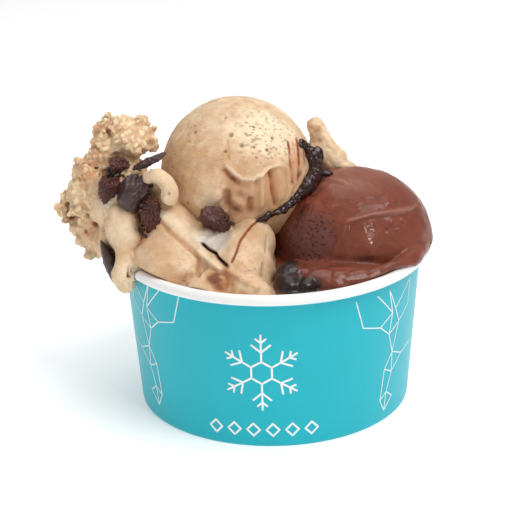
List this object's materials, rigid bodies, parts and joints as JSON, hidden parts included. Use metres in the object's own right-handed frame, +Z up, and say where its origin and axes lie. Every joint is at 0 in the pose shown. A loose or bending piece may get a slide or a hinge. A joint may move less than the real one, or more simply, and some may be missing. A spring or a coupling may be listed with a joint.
{
  "type": "gelato cup",
  "caption": "Squat round paper cup heaped with two flavours of gelato: a hazelnut ball, a torn hazelnut scoop with chocolate chunks, and a smooth chocolate scoop.",
  "frame": {"origin": "middle of the footprint of the whole object's box, on the surface it stands on", "axes": "+X to the right of the shown front, from the torn scoop to the chocolate scoop, along the longest side; +Y from the shown front to the back; +Z up along the cup's axis"},
  "size_m": [0.112, 0.093, 0.0906],
  "materials": {
    "printed_board": "printed turquoise outside with a thin gloss coat, white rolled rim and inside",
    "white_board": "uncoated white",
    "hazelnut_gelato": "soft satin, moist, finely pitted",
    "chocolate_gelato": "moist satin gloss",
    "chocolate_chunk": "broken dark chocolate, satin",
    "fudge": "wet gloss"
  },
  "bodies": {
    "root": {"cup_wall": "printed_board", "cup_base": "white_board", "hazelnut_filling": "hazelnut_gelato", "hazelnut_ball": "hazelnut_gelato", "hazelnut_torn_scoop": "hazelnut_gelato", "hazelnut_curl": "hazelnut_gelato", "hazelnut_tuft": "hazelnut_gelato", "chocolate_scoop": "chocolate_gelato", "fudge_ripple": "fudge", "chocolate_chunk_upper": "chocolate_chunk", "chocolate_chunk_left": "chocolate_chunk", "chocolate_chunk_grey": "chocolate_chunk", "chocolate_chunk_front": "chocolate_chunk", "chocolate_chunk_splinter": "chocolate_chunk", "chocolate_chunk_sliver": "chocolate_chunk", "chocolate_chunk_middle": "chocolate_chunk"}
  },
  "joints": []
}
